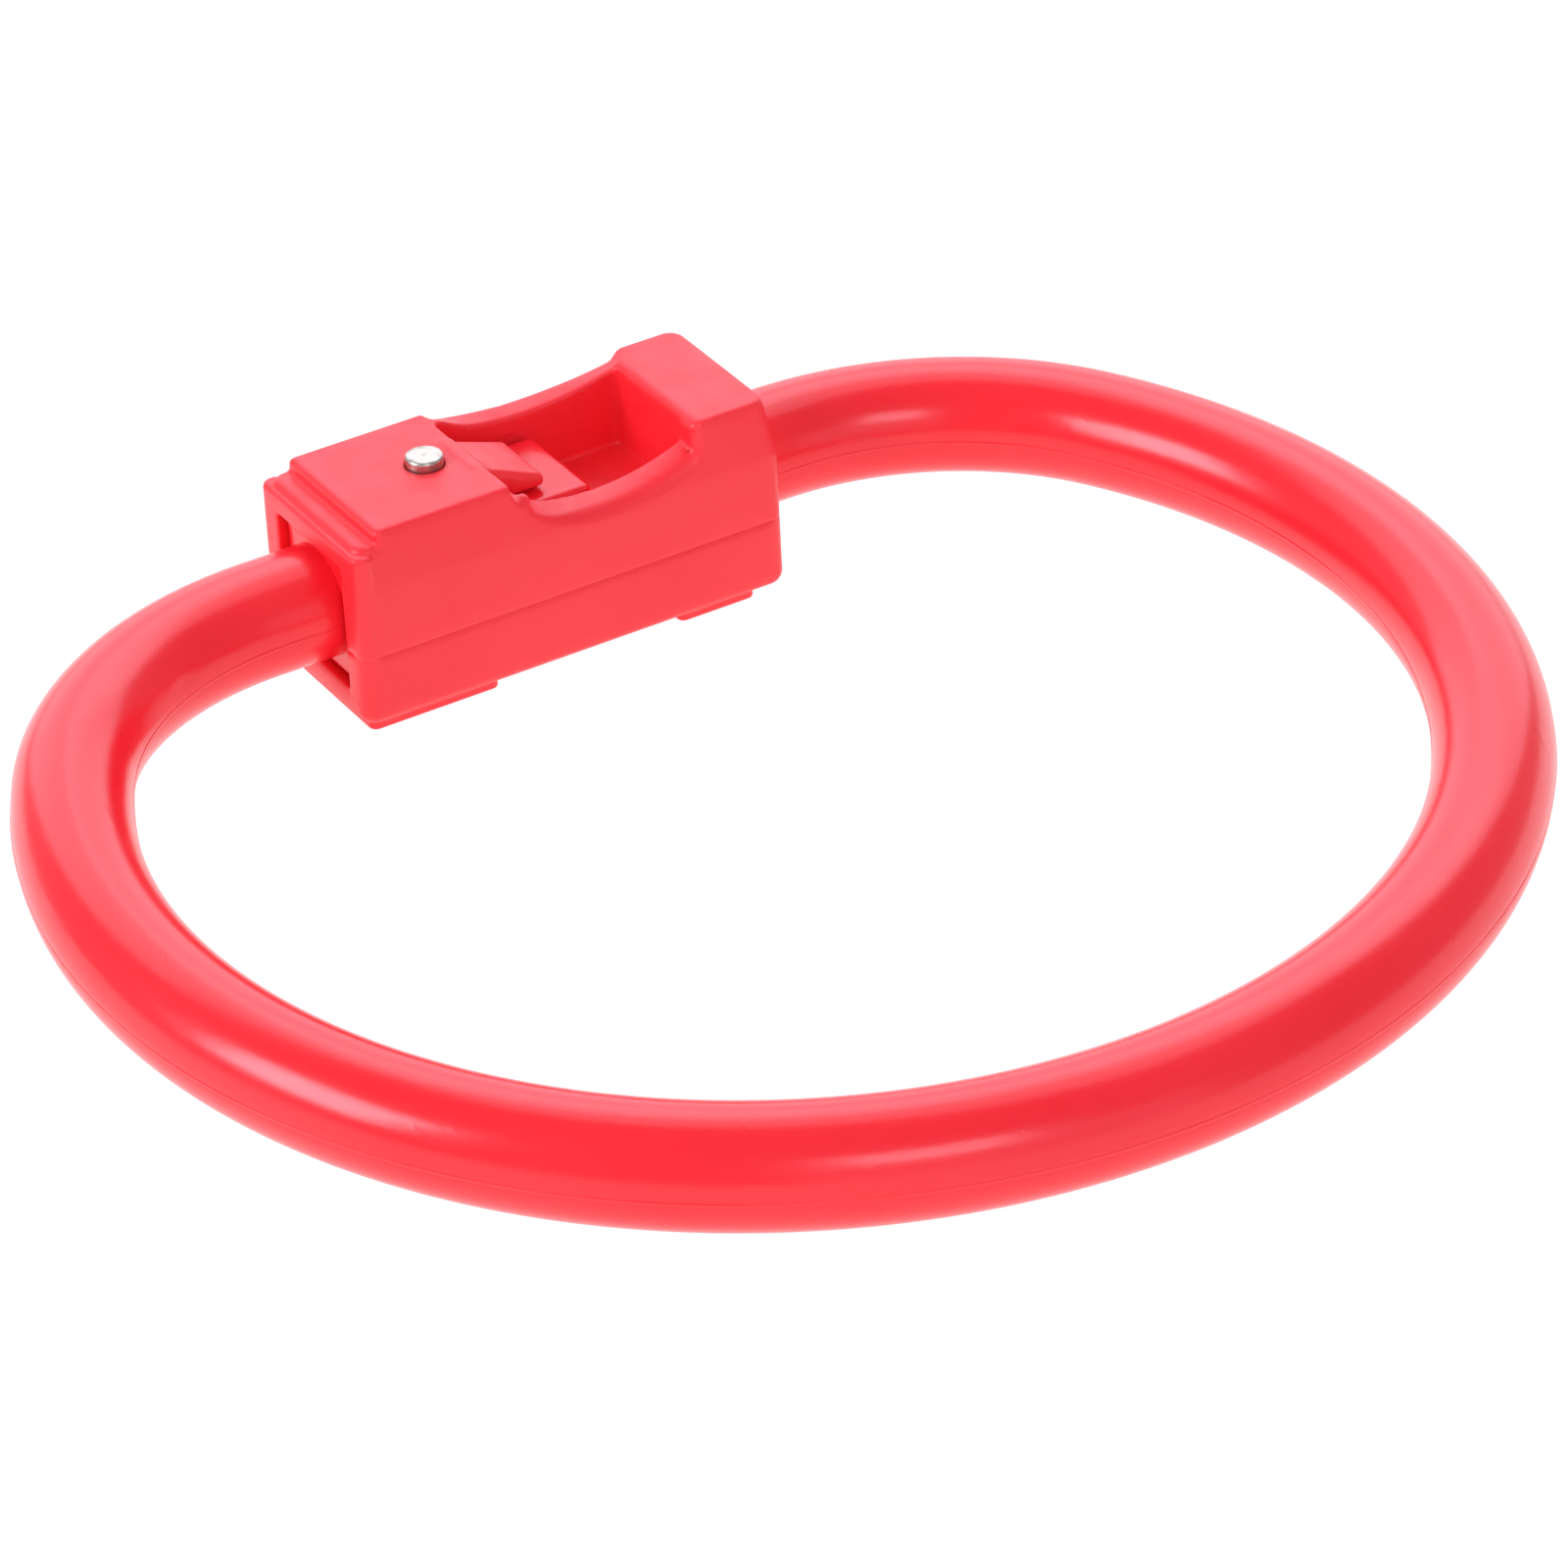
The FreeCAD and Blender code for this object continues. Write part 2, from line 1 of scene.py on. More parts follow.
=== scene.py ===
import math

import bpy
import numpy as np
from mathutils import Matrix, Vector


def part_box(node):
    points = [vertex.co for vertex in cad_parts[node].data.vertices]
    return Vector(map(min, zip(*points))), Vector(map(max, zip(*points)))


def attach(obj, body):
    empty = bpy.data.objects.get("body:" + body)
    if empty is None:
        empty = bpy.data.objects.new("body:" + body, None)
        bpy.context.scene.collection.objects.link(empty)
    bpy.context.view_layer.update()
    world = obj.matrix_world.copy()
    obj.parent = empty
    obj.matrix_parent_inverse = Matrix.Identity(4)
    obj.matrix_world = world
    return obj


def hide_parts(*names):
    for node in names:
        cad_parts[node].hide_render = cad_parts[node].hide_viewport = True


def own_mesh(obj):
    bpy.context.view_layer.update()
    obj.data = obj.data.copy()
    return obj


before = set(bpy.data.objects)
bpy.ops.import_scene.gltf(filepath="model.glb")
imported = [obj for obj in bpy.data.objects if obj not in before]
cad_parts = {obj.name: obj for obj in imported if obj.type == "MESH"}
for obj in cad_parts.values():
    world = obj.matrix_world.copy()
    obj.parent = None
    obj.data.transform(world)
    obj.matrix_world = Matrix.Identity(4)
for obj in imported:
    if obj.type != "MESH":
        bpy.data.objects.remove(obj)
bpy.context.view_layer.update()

# Looks for a moulded carrying ring that is closed by a spring-loaded sliding sleeve.
# Shapes are worked out in millimetres in the CAD frame and written to meshes in metres.
# "along" is X, the sleeve's length; "across" is Y measured from the sleeve's middle plane; "up" is Z.
# The near side of the sleeve is the one towards the ring's inside (minus Y), and the far side is the
# outer one. Left is minus X, where the ring's fixed end goes in, and right is where the free tip does.

import openvdb
from mathutils import Matrix, Vector

MM = 0.001


def box_mm(node):
    """A CAD node's lowest and highest corner, in millimetres."""
    low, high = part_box(node)
    return np.array(low) / MM, np.array(high) / MM


ring_high = box_mm("ring_body")[1]
upper_low, upper_high = box_mm("sleeve_upper_shell")
lower_low = box_mm("sleeve_lower_shell")[0]
pin_low, pin_high = box_mm("guide_pin")
spring_low, spring_high = box_mm("return_spring")

# --- Sizes. Those of whole pieces come from the frame, and the rest repeat the design's.

# The bar: a round arc, a tighter corner at each end of it, and a straight side that ends in the free tip.
BAR_RADIUS = 6.15
RING_RADIUS = ring_high[0] - BAR_RADIUS
CORNER_RADIUS = 35.0
CORNER_SWEEP = math.radians(60)
TIP_X, TIP_ROUNDING = 18.8, 1.5

# The mould line on the bar's inner and outer side: a low ridge between two shallow grooves.
# The first two values are millimetres, and the other two are radians round the bar.
RIDGE_HEIGHT, GROOVE_DEPTH = 0.07, 0.045
RIDGE_WIDTH, GROOVE_AWAY = 0.012, 0.035

# The sleeve's outline. Its upper walls lean in from the crease to the top.
MIDDLE = (upper_low[1] + upper_high[1]) / 2
HALF_WIDTH = (upper_high[1] - upper_low[1]) / 2
LEFT, RIGHT = upper_low[0], upper_high[0]
SEAM, TOP = upper_low[2], upper_high[2]
FOOT_BOTTOM = lower_low[2]
BOTTOM = -10.5
CREASE = 5.2
END_TAPER, SIDE_TAPER = 1.0, 1.0
CORNER_ROUNDING, BOTTOM_ROUNDING = 1.8, 1.5
FEET = ((-23.0, -7.9), (13.7, 22.9))
FOOT_HALF_WIDTH = 9.1

# The step at the sleeve's left end, and the flange round that end.
LEDGE_HEIGHT, PAD_LEFT = 10.1, -21.1
FLANGE_RIGHT, FLANGE_TOP, FLANGE_CORNER = -21.9, 9.5, 1.3

# The sleeve's openings: channel for the tang, spring chamber under a plate, socket for the free tip,
# and thumb well with a scoop in each side wall.
CHANNEL_HALF_WIDTH, CHANNEL_HALF_HEIGHT = 6.65, 7.2
PLATE_LEFT, PLATE_BOTTOM = 4.3, 0.6
CHAMBER_RIGHT = 11.2
SOCKET_RADIUS, SOCKET_BOTTOM = 6.45, 18.4
WELL_LEFT, WELL_RIGHT, WELL_FLOOR = -5.3, 16.4, 1.9
SCOOP_RADIUS, SCOOP_X, SCOOP_Z, SCOOP_END, SCOOP_SLOPE = 26.0, 5.5, 7.9, 16.2, 0.2

# The sloping tongue over the nose.
TONGUE_RIGHT, TONGUE_ROOT_Z, TONGUE_TIP_Z, TONGUE_BOTTOM = 1.5, 11.2, 8.3, 6.95
TONGUE_ROOT_HALF_WIDTH, TONGUE_ROOT_Y, TONGUE_FLARE = 3.7, -0.5, 0.6

# Small bumps at the scoop's ends: radius, centre, and fillet to the wall.
BUMPS = [
    (0.8, (-3.7, -8.6, 9.0), 0.8),
    (0.3, (15.4, -8.6, 8.6), 0.3),
    (0.25, (16.9, -9.2, 10.6), 0.3),
]

# The lower shell's lip stands a little inside the wall and reaches up behind the seam.
LIP_INSET, LIP_HEIGHT = 0.07, 0.4

# The ring's fixed end: the tang with the pin's slot, and the nose.
TANG_LEFT, TANG_RIGHT, TANG_HALF_WIDTH = -23.3, -5.0, 6.3
TANG_HALF_HEIGHT = ring_high[2]
SLOT_LEFT, SLOT_RIGHT, SLOT_HALF_WIDTH = -21.4, -7.8, 2.3
NOSE_RIGHT, NOSE_BOTTOM = 5.8, 2.2

PIN_X = (pin_low[0] + pin_high[0]) / 2
PIN_RADIUS = (pin_high[0] - pin_low[0]) / 2
PIN_CLEARANCE = 0.1

# The plane that the whole object rests on: it touches the feet's near edge and, opposite the sleeve,
# the bar. Its slope is worked out in Y and Z.
FOOT_EDGE = np.array([MIDDLE - FOOT_HALF_WIDTH, FOOT_BOTTOM])
BAR_CENTRE = np.array([-RING_RADIUS, 0.0])
to_bar = BAR_CENTRE - FOOT_EDGE
REST_TILT = math.atan2(to_bar[1], -to_bar[0]) - math.asin(BAR_RADIUS / np.linalg.norm(to_bar))


# --- Shapes as distance fields: negative inside, and in millimetres.


def meet(radius, *fields):
    """The solid where all the fields are inside, with its edges rounded to radius."""
    nearest = fields[0]
    total = 0.0
    for field in fields:
        nearest = np.maximum(nearest, field)
        total = total + np.maximum(field + radius, 0.0) ** 2
    return np.minimum(-radius, nearest) + np.sqrt(total)


def cut(radius, solid, hole):
    """The solid without the hole, with the rim rounded to radius."""
    return meet(radius, solid, -hole)


def join(radius, first, second):
    """Both solids, with a fillet of that radius where they meet."""
    return -meet(radius, -first, -second)


def blob(radius, centre, along, across, up):
    """A ball of that radius."""
    x, y, z = centre
    return np.sqrt((along - x) ** 2 + (across - y) ** 2 + (up - z) ** 2) - radius


def leaning(outward, up, taper):
    """A wall that is upright to the crease and leans in by taper from there to the top."""
    rise = TOP - CREASE
    length = math.hypot(rise, taper)
    return np.maximum(outward, (outward * rise + (up - CREASE) * taper) / length)


def scoop_hole(along, across, up):
    """The dip in the side walls: lower and rounder on the near side, and flatter on the far one."""
    flatter_when_far, steeper_at_left, longer_when_far = 0.7, 0.07, 1.4
    far = np.clip((across - 5.5) / 4.0, 0.0, 1.0)
    outer = np.clip((across - CHANNEL_HALF_WIDTH) / 3.0, 0.0, 1.0)
    curve = (1.0 - flatter_when_far * far) / (2 * SCOOP_RADIUS)
    surface = SCOOP_Z + SCOOP_SLOPE * across + curve * (along - SCOOP_X) ** 2
    surface = surface + steeper_at_left * (1.0 - far) * np.minimum(along, 0.0) ** 2
    end = SCOOP_END + longer_when_far * outer
    # The height above the surface is divided by about its gradient, which makes it a distance.
    gradient = math.hypot(1.05, SCOOP_SLOPE)
    return meet(0.5, (surface - up) / gradient, WELL_LEFT - along, along - end)


def tongue_lip(along, across, up):
    """The sloping lip beyond the pad, a little wider at its tip on the far side."""
    run, drop = TONGUE_RIGHT - WELL_LEFT, TONGUE_ROOT_Z - TONGUE_TIP_Z
    share = np.clip((along - WELL_LEFT) / run, 0.0, 1.0)
    middle = TONGUE_ROOT_Y + TONGUE_FLARE * share
    half_width = TONGUE_ROOT_HALF_WIDTH + TONGUE_FLARE * share
    slope = ((along - WELL_LEFT) * drop + (up - TONGUE_ROOT_Z) * run) / math.hypot(run, drop)
    sides = abs(across - middle) - half_width
    inside_pad = WELL_LEFT - 1.5
    return meet(0.6, along - TONGUE_RIGHT, inside_pad - along, sides, slope, TONGUE_BOTTOM - up)


def socket_hole(along, across, up):
    """The round hole that the free tip goes into, open to the sleeve's right end."""
    return meet(0.3, np.sqrt(across**2 + up**2) - SOCKET_RADIUS, SOCKET_BOTTOM - along)


def pin_hole(along, across):
    """The round hole for the pin, a little wider than it."""
    return np.sqrt((along - PIN_X) ** 2 + across**2) - PIN_RADIUS - PIN_CLEARANCE


def upper_shell(along, across, up):
    """Tapered block with the end flange, pad, thumb well, scoops, tongue, channel and socket."""
    side = abs(across)
    walls = meet(
        CORNER_ROUNDING,
        leaning(LEFT - along, up, END_TAPER),
        leaning(along - RIGHT, up, END_TAPER),
        leaning(side - HALF_WIDTH, up, SIDE_TAPER),
    )
    block = meet(0.6, walls, up - TOP)
    ledge = meet(0.25, along - PAD_LEFT, LEDGE_HEIGHT - up)
    block = cut(0.7, block, ledge)
    flange_walls = meet(FLANGE_CORNER, LEFT - along, side - HALF_WIDTH)
    flange = meet(0.5, flange_walls, along - FLANGE_RIGHT, up - FLANGE_TOP)
    block = np.minimum(block, flange)
    block = meet(0.05, block, SEAM - up)

    rim = 0.35 + 1.0 * np.clip((along - WELL_LEFT) / 9.0, 0.0, 1.0)
    block = cut(rim, block, scoop_hole(along, across, up))
    for radius, centre, fillet in BUMPS:
        block = join(fillet, block, blob(radius, centre, along, across, up))

    well_walls = meet(0.7, WELL_LEFT - along, along - WELL_RIGHT, side - CHANNEL_HALF_WIDTH)
    well = meet(0.4, well_walls, WELL_FLOOR - up)
    block = cut(0.4, block, well)

    channel = meet(0.3, side - CHANNEL_HALF_WIDTH, up - CHANNEL_HALF_HEIGHT, along - PLATE_LEFT)
    chamber = meet(0.3, side - CHANNEL_HALF_WIDTH, up - PLATE_BOTTOM, along - CHAMBER_RIGHT)
    block = cut(0.3, block, np.minimum(channel, chamber))
    block = cut(0.4, block, socket_hole(along, across, up))

    block = join(0.5, block, tongue_lip(along, across, up))
    return cut(0.12, block, pin_hole(along, across))


def lower_shell(along, across, up):
    """Tray below the seam with rounded lower edges, two shallow feet, channel and socket."""
    side = abs(across)
    walls = meet(CORNER_ROUNDING, LEFT - along, along - RIGHT, side - HALF_WIDTH)
    block = meet(BOTTOM_ROUNDING, walls, BOTTOM - up)
    for left, right in FEET:
        outline = meet(0.9, left - along, along - right, side - FOOT_HALF_WIDTH)
        foot = meet(0.3, outline, FOOT_BOTTOM - up, up - BOTTOM - 2.0)
        block = join(0.2, block, foot)
    lip = meet(0.05, block + LIP_INSET, up - SEAM - LIP_HEIGHT)
    block = np.minimum(meet(0.05, block, up - SEAM), lip)
    tray = meet(0.3, side - CHANNEL_HALF_WIDTH, -CHANNEL_HALF_HEIGHT - up, along - CHAMBER_RIGHT)
    block = cut(0.3, block, tray)
    block = cut(0.4, block, socket_hole(along, across, up))
    return cut(0.12, block, pin_hole(along, across))


def tang(along, across, up):
    """The slotted block on the ring's fixed end, with the nose that shows in the well."""
    side = abs(across)
    block = meet(0.6, TANG_LEFT - along, along - TANG_RIGHT, side - TANG_HALF_WIDTH)
    block = meet(0.3, block, abs(up) - TANG_HALF_HEIGHT)
    nose = meet(0.8, along - NOSE_RIGHT, side - TANG_HALF_WIDTH, up - TANG_HALF_HEIGHT)
    nose = meet(0.3, nose, NOSE_BOTTOM - up, TANG_RIGHT - 2.0 - along)
    slot = meet(0.6, SLOT_LEFT - along, along - SLOT_RIGHT, side - SLOT_HALF_WIDTH)
    return cut(0.2, join(0.4, block, nose), slot)


# The grid's step in millimetres, and how much the mesh may merge facets where the surface is flat.
FIELD_STEP, ADAPTIVITY = 0.2, 0.01


def mesh_from_field(name, field, low, high):
    """Meshes the zero surface of a distance field, inside a box given in millimetres."""
    margin = 3 * FIELD_STEP
    axes = [np.arange(a - margin, b + margin + FIELD_STEP, FIELD_STEP) for a, b in zip(low, high)]
    along, across, up = np.meshgrid(*axes, indexing="ij", sparse=True)
    values = np.broadcast_to(field(along, across, up), [len(axis) for axis in axes])
    grid = openvdb.FloatGrid(margin)
    grid.copyFromArray(np.clip(values, -margin, margin).astype(np.float32))
    grid.transform = openvdb.createLinearTransform(voxelSize=FIELD_STEP)
    points, triangles, quads = grid.convertToPolygons(isovalue=0.0, adaptivity=ADAPTIVITY)
    points = (points + [axis[0] for axis in axes] + [0.0, MIDDLE, 0.0]) * MM
    mesh = bpy.data.meshes.new(name)
    mesh.from_pydata(points.tolist(), [], quads.tolist() + triangles.tolist())
    mesh.validate()
    mesh.shade_smooth()
    return add_object(name, mesh)


# --- Swept and turned shapes.


def add_object(name, data):
    """A new object of that mesh, lamp or camera in the scene."""
    made = bpy.data.objects.new(name, data)
    bpy.context.scene.collection.objects.link(made)
    return made


def bridge_rings(name, rings):
    """A closed mesh from equal rings of points in millimetres, with each end closed by a fan."""
    count = len(rings[0])
    points = [tuple(point) for ring in rings for point in ring]
    faces = []
    for row in range(len(rings) - 1):
        for n in range(count):
            after = (n + 1) % count
            here, there = row * count, (row + 1) * count
            faces.append((here + n, there + n, there + after, here + after))
    last = (len(rings) - 1) * count
    for ring, start in ((rings[0], 0), (rings[-1], last)):
        middle = len(points)
        points.append(tuple(np.mean(ring, axis=0)))
        for n in range(count):
            after = (n + 1) % count
            ends = (start + n, start + after) if start == 0 else (start + after, start + n)
            faces.append((*ends, middle))
    mesh = bpy.data.meshes.new(name)
    mesh.from_pydata((np.array(points) * MM).tolist(), [], faces)
    mesh.validate()
    mesh.shade_smooth()
    return add_object(name, mesh)


def bar_path():
    """Centre, outward direction and length so far, from the tang round to the free tip."""
    corner_x = (RING_RADIUS - CORNER_RADIUS) * math.sin(CORNER_SWEEP)
    corner_y = (RING_RADIUS - CORNER_RADIUS) * math.cos(CORNER_SWEEP)
    side = math.pi / 2
    full = 2 * math.pi
    arcs = [
        ((-corner_x, corner_y), CORNER_RADIUS, side, side + CORNER_SWEEP),
        ((0.0, 0.0), RING_RADIUS, side + CORNER_SWEEP, side + full - CORNER_SWEEP),
        ((corner_x, corner_y), CORNER_RADIUS, side + full - CORNER_SWEEP, side + full),
    ]
    stations = []

    def add(x, y, angle):
        length = 0.0
        if stations:
            length = stations[-1][2] + math.dist(stations[-1][0], (x, y))
        stations.append(((x, y), (math.cos(angle), math.sin(angle)), length))

    # The bar starts just inside the tang's end face.
    straight_y = corner_y + CORNER_RADIUS
    start_x = TANG_LEFT + 0.6
    for x in np.linspace(start_x, -corner_x, 9)[:-1]:
        add(x, straight_y, side)
    for (x, y), radius, start, end in arcs:
        steps = round(radius * (end - start))
        for angle in np.linspace(start, end, steps + 1)[:-1]:
            add(x + radius * math.cos(angle), y + radius * math.sin(angle), angle)
    for x in np.linspace(corner_x, TIP_X, 14):
        add(x, straight_y, side)
    return stations


def section_angles():
    """Even steps round the bar, with close ones at the mould line on its inner and outer side."""
    bar_sides = 96
    close = np.array([-0.06, -0.03, -0.014, 0.0, 0.014, 0.03, 0.06])
    even = np.linspace(0.0, 2 * math.pi, bar_sides, endpoint=False)
    fine = np.concatenate([close % (2 * math.pi), close + math.pi])
    clear = [a for a in even if min(abs(math.remainder(a - b, 2 * math.pi)) for b in fine) > 0.03]
    return np.sort(np.concatenate([clear, fine]))


# Shallow sink marks: distance along the bar from the tang, angle round it, depth, length and spread.
SINKS = [
    (416.0, 1.25, 0.10, 2.6, 0.22),
    (411.5, 1.45, 0.08, 2.2, 0.18),
    (406.5, 1.15, 0.07, 2.8, 0.25),
    (24.0, 2.85, 0.12, 2.4, 0.16),
    (28.5, 2.75, 0.08, 2.0, 0.14),
]


def bar_skin(length, angles):
    """The bar's radius at each angle: round, with a low mould line and the sink marks."""
    radius = np.full(len(angles), BAR_RADIUS - RIDGE_HEIGHT)
    waver = 0.75 + 0.25 * math.sin(0.21 * length) * math.sin(0.067 * length + 1.0)
    for line in (0.0, math.pi):
        away = np.array([math.remainder(a - line, 2 * math.pi) for a in angles])
        radius += RIDGE_HEIGHT * waver * np.exp(-((away / RIDGE_WIDTH) ** 2))
        radius -= GROOVE_DEPTH * waver * np.exp(-(((abs(away) - GROOVE_AWAY) / RIDGE_WIDTH) ** 2))
    for place, angle, depth, reach, spread in SINKS:
        away = np.array([math.remainder(a - angle, 2 * math.pi) for a in angles])
        radius -= depth * math.exp(-(((length - place) / reach) ** 2)) * np.exp(-((away / spread) ** 2))
    return radius


def make_bar():
    """The round bar, swept along its path, with a rounded free tip."""
    angles = section_angles()
    stations = bar_path()
    end = stations[-1][2]
    rings = []
    for (x, y), (out_x, out_y), length in stations:
        radius = bar_skin(length, angles)
        short = max(0.0, TIP_ROUNDING - (end - length))
        radius = radius - TIP_ROUNDING + math.sqrt(TIP_ROUNDING**2 - short**2)
        outward = radius * np.cos(angles)
        rings.append(np.stack([x + out_x * outward, y + out_y * outward, radius * np.sin(angles)], axis=1))
    return bridge_rings("ring_bar", rings)


def make_pin():
    """A steel pin with a sheared, slightly domed end and a rolled edge."""
    top, bottom, edge = pin_high[2], pin_low[2], PIN_RADIUS
    profile = [
        (edge - 0.5, bottom),
        (edge - 0.2, bottom + 0.05),
        (edge, bottom + 0.35),
        (edge, top - 0.45),
        (edge - 0.02, top - 0.28),
        (edge - 0.12, top - 0.12),
        (edge - 0.3, top - 0.05),
        (edge - 0.7, top - 0.02),
        (edge - 1.3, top),
        (0.3, top - 0.01),
    ]
    turns = np.linspace(0.0, 2 * math.pi, 72, endpoint=False)
    rings = []
    for radius, height in profile:
        on_sheared_end = height > top - 0.5 and radius < edge
        wobble = radius * (1.0 + 0.012 * np.sin(3 * turns + 0.6) * on_sheared_end)
        x, y = PIN_X + wobble * np.cos(turns), MIDDLE + wobble * np.sin(turns)
        rings.append(np.stack([x, y, np.full(len(turns), height)], axis=1))
    return bridge_rings("pin", rings)


def make_spring():
    """A compression spring whose end coils lie close together."""
    wire = 0.25
    coil = (spring_high[2] - spring_low[2]) / 2 - wire
    centre_z = (spring_high[2] + spring_low[2]) / 2
    left, right = spring_low[0] + wire, spring_high[0] - wire
    closed, open_turns = 1.0, 6.0
    all_turns = open_turns + 2 * closed
    closed_rise = 2.1 * wire
    steps_per_turn, wire_sides = 42, 12
    rings = []
    section = np.linspace(0.0, 2 * math.pi, wire_sides, endpoint=False)
    for turn in np.linspace(0.0, all_turns, round(all_turns * steps_per_turn) + 1):
        into_end = min(turn, all_turns - turn, closed)
        share = np.clip((turn - closed) / open_turns, 0.0, 1.0)
        middle = left + closed_rise + (right - left - 2 * closed_rise) * share
        lean = closed_rise * (1.0 - into_end / closed)
        along = middle - lean if turn < closed else middle + lean
        angle = 2 * math.pi * turn
        out = np.array([0.0, math.cos(angle), math.sin(angle)])
        centre = np.array([along, MIDDLE, centre_z]) + coil * out
        across = np.array([1.0, 0.0, 0.0])
        rings.append(centre + wire * (np.outer(np.cos(section), out) + np.outer(np.sin(section), across)))
    return bridge_rings("spring", rings)


# --- Materials. Texture scales are in features per metre.


def add_node(tree, kind, inputs=(), **settings):
    node = tree.nodes.new(f"ShaderNode{kind}")
    for key, value in settings.items():
        setattr(node, key, value)
    for key, value in dict(inputs).items():
        node.inputs[key].default_value = value
    return node


def new_material(name):
    """A material with its node tree, its shader and its texture coordinates."""
    material = bpy.data.materials.new(name)
    material.use_nodes = True
    tree = material.node_tree
    shader = next(node for node in tree.nodes if node.type == "BSDF_PRINCIPLED")
    where = add_node(tree, "TexCoord")
    return material, tree, shader, where


def noise(tree, where, scale, detail, stretch=(1.0, 1.0, 1.0)):
    """The value output of a noise texture in object space."""
    mapping = add_node(tree, "Mapping", {"Scale": stretch})
    tree.links.new(where.outputs["Object"], mapping.inputs["Vector"])
    texture = add_node(tree, "TexNoise", {"Scale": scale, "Detail": detail})
    tree.links.new(mapping.outputs["Vector"], texture.inputs["Vector"])
    return texture.outputs["Fac"]


def map_range(tree, value, source, target):
    """The value taken from the range source to the range target, and kept inside it."""
    node = add_node(
        tree,
        "MapRange",
        {"From Min": source[0], "From Max": source[1], "To Min": target[0], "To Max": target[1]},
    )
    tree.links.new(value, node.inputs["Value"])
    return node.outputs["Result"]


def stack_bump(tree, shader, layers):
    """Bumps laid one over the other: (height output, depth in metres, strength)."""
    normal = None
    for height, depth, strength in layers:
        bump = add_node(tree, "Bump", {"Strength": strength, "Distance": depth})
        tree.links.new(height, bump.inputs["Height"])
        if normal:
            tree.links.new(normal, bump.inputs["Normal"])
        normal = bump.outputs["Normal"]
    tree.links.new(normal, shader.inputs["Normal"])


def specks(tree, where, scale, size):
    """Sparse round specks of dust, 1 on a speck and 0 elsewhere. One cell in five has a speck."""
    cells = add_node(tree, "TexVoronoi", {"Scale": scale, "Randomness": 1.0})
    tree.links.new(where.outputs["Object"], cells.inputs["Vector"])
    dots = map_range(tree, cells.outputs["Distance"], (size, size * 0.6), (0.0, 1.0))
    rare = add_node(tree, "Math", {1: 0.8}, operation="GREATER_THAN")
    shade = add_node(tree, "SeparateColor")
    tree.links.new(cells.outputs["Color"], shade.inputs["Color"])
    tree.links.new(shade.outputs["Red"], rare.inputs[0])
    both = add_node(tree, "Math", operation="MULTIPLY")
    tree.links.new(dots, both.inputs[0])
    tree.links.new(rare.outputs["Value"], both.inputs[1])
    return both.outputs["Value"]


def plastic(name, colour, pale, gloss, peel, scratch):
    """Moulded plastic: flow marks, fine orange peel, scuffs and specks of dust.

    colour and pale are the main and the lighter tone, gloss the range of roughness,
    peel and scratch the depths of the fine texture and of the scratches in metres.
    """
    material, tree, shader, where = new_material(name)
    flow = noise(tree, where, scale=45.0, detail=3.0)
    fine = noise(tree, where, scale=1400.0, detail=2.0)
    scuffs = noise(tree, where, scale=260.0, detail=4.0, stretch=(1.0, 1.0, 9.0))
    lines = noise(tree, where, scale=420.0, detail=2.0, stretch=(1.0, 0.08, 1.0))
    dust = specks(tree, where, scale=170.0, size=0.028)

    tone = add_node(tree, "Mix", {"A": (*colour, 1.0), "B": (*pale, 1.0)}, data_type="RGBA")
    tree.links.new(map_range(tree, flow, (0.35, 0.7), (0.0, 0.6)), tone.inputs["Factor"])
    dusted = add_node(tree, "Mix", {"B": (0.95, 0.35, 0.36, 1.0)}, data_type="RGBA")
    tree.links.new(tone.outputs["Result"], dusted.inputs["A"])
    tree.links.new(dust, dusted.inputs["Factor"])
    tree.links.new(dusted.outputs["Result"], shader.inputs["Base Color"])

    tree.links.new(map_range(tree, scuffs, (0.35, 0.75), gloss), shader.inputs["Roughness"])
    scratches = map_range(tree, lines, (0.66, 0.72), (0.0, 1.0))
    layers = [(flow, 0.0006, 0.12), (fine, peel, 0.5), (scratches, scratch, 0.35), (dust, 0.00012, 0.6)]
    stack_bump(tree, shader, layers)
    shader.inputs["IOR"].default_value = 1.5
    shader.inputs["Subsurface Weight"].default_value = 0.06
    shader.inputs["Subsurface Radius"].default_value = (1.0, 0.12, 0.1)
    shader.inputs["Subsurface Scale"].default_value = 0.0012
    return material


def steel(name, colour, gloss, grain, blotch):
    """Cut steel: fine grain in its reflection and blotches that are darker by the factor blotch."""
    material, tree, shader, where = new_material(name)
    fine = noise(tree, where, scale=5200.0, detail=3.0)
    marks = noise(tree, where, scale=900.0, detail=3.0)
    worn = [channel * blotch for channel in colour]
    tone = add_node(tree, "Mix", {"A": (*colour, 1.0), "B": (*worn, 1.0)}, data_type="RGBA")
    tree.links.new(map_range(tree, marks, (0.45, 0.62), (0.0, 1.0)), tone.inputs["Factor"])
    tree.links.new(tone.outputs["Result"], shader.inputs["Base Color"])
    tree.links.new(map_range(tree, marks, (0.3, 0.7), gloss), shader.inputs["Roughness"])
    stack_bump(tree, shader, [(marks, 0.00008, 0.4), (fine, grain, 0.4)])
    shader.inputs["Metallic"].default_value = 1.0
    return material


